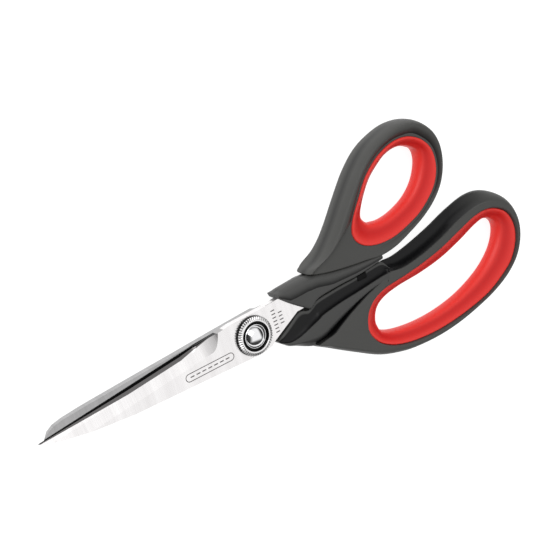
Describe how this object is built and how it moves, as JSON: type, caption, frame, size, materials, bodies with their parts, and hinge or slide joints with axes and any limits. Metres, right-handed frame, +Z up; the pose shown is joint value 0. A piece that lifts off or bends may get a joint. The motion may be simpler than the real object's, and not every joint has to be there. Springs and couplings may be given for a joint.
{
  "type": "fabric shears",
  "caption": "Bent-handle tailor's shears: two ground steel blades on an adjustable screw pivot, each in a moulded handle with a soft grip and a soft-lined bow.",
  "frame": {"origin": "on the pivot axis, at the flat closed end of the pivot nut, which is the surface the shears lie on", "axes": "+Z up along the pivot axis through the domed screw head; +X from the blade tips to the handles; +Y towards the thumb bow"},
  "size_m": [0.2491, 0.0993, 0.0142],
  "materials": {
    "ground_steel": "fine ground, lengthways",
    "polished_steel": "mirror polish",
    "dial_steel": "satin turned",
    "dark_core": "satin moulded",
    "dark_grip": "soft touch, fine grain",
    "red_liner": "satin moulded",
    "black_bumper": "matt",
    "bronze": "turned",
    "pale_washer": "matt"
  },
  "bodies": {
    "finger_side": {"finger_blade": "ground_steel", "finger_core": "dark_core", "finger_grip": "dark_grip", "finger_liner": "red_liner", "finger_stop": "black_bumper", "pivot_screw": "polished_steel", "slide_washer": "pale_washer", "spring_washer": "dial_steel", "pivot_nut": "polished_steel"},
    "thumb_side": {"thumb_blade": "ground_steel", "thumb_core": "dark_core", "thumb_grip": "dark_grip", "thumb_liner": "red_liner", "thumb_stop": "black_bumper", "pivot_bushing": "bronze"},
    "dial": {"tension_dial": "dial_steel"}
  },
  "joints": [
    {"name": "blade_pivot", "type": "hinge", "parent": "finger_side", "child": "thumb_side", "pos_m": [0, 0, 0.007], "axis": [0, 0, 1], "range_deg": [0, 60]},
    {"name": "dial_turn", "type": "hinge", "parent": "finger_side", "child": "dial", "pos_m": [0, 0, 0.01], "axis": [0, 0, 1], "range_deg": [-135, 135]}
  ]
}
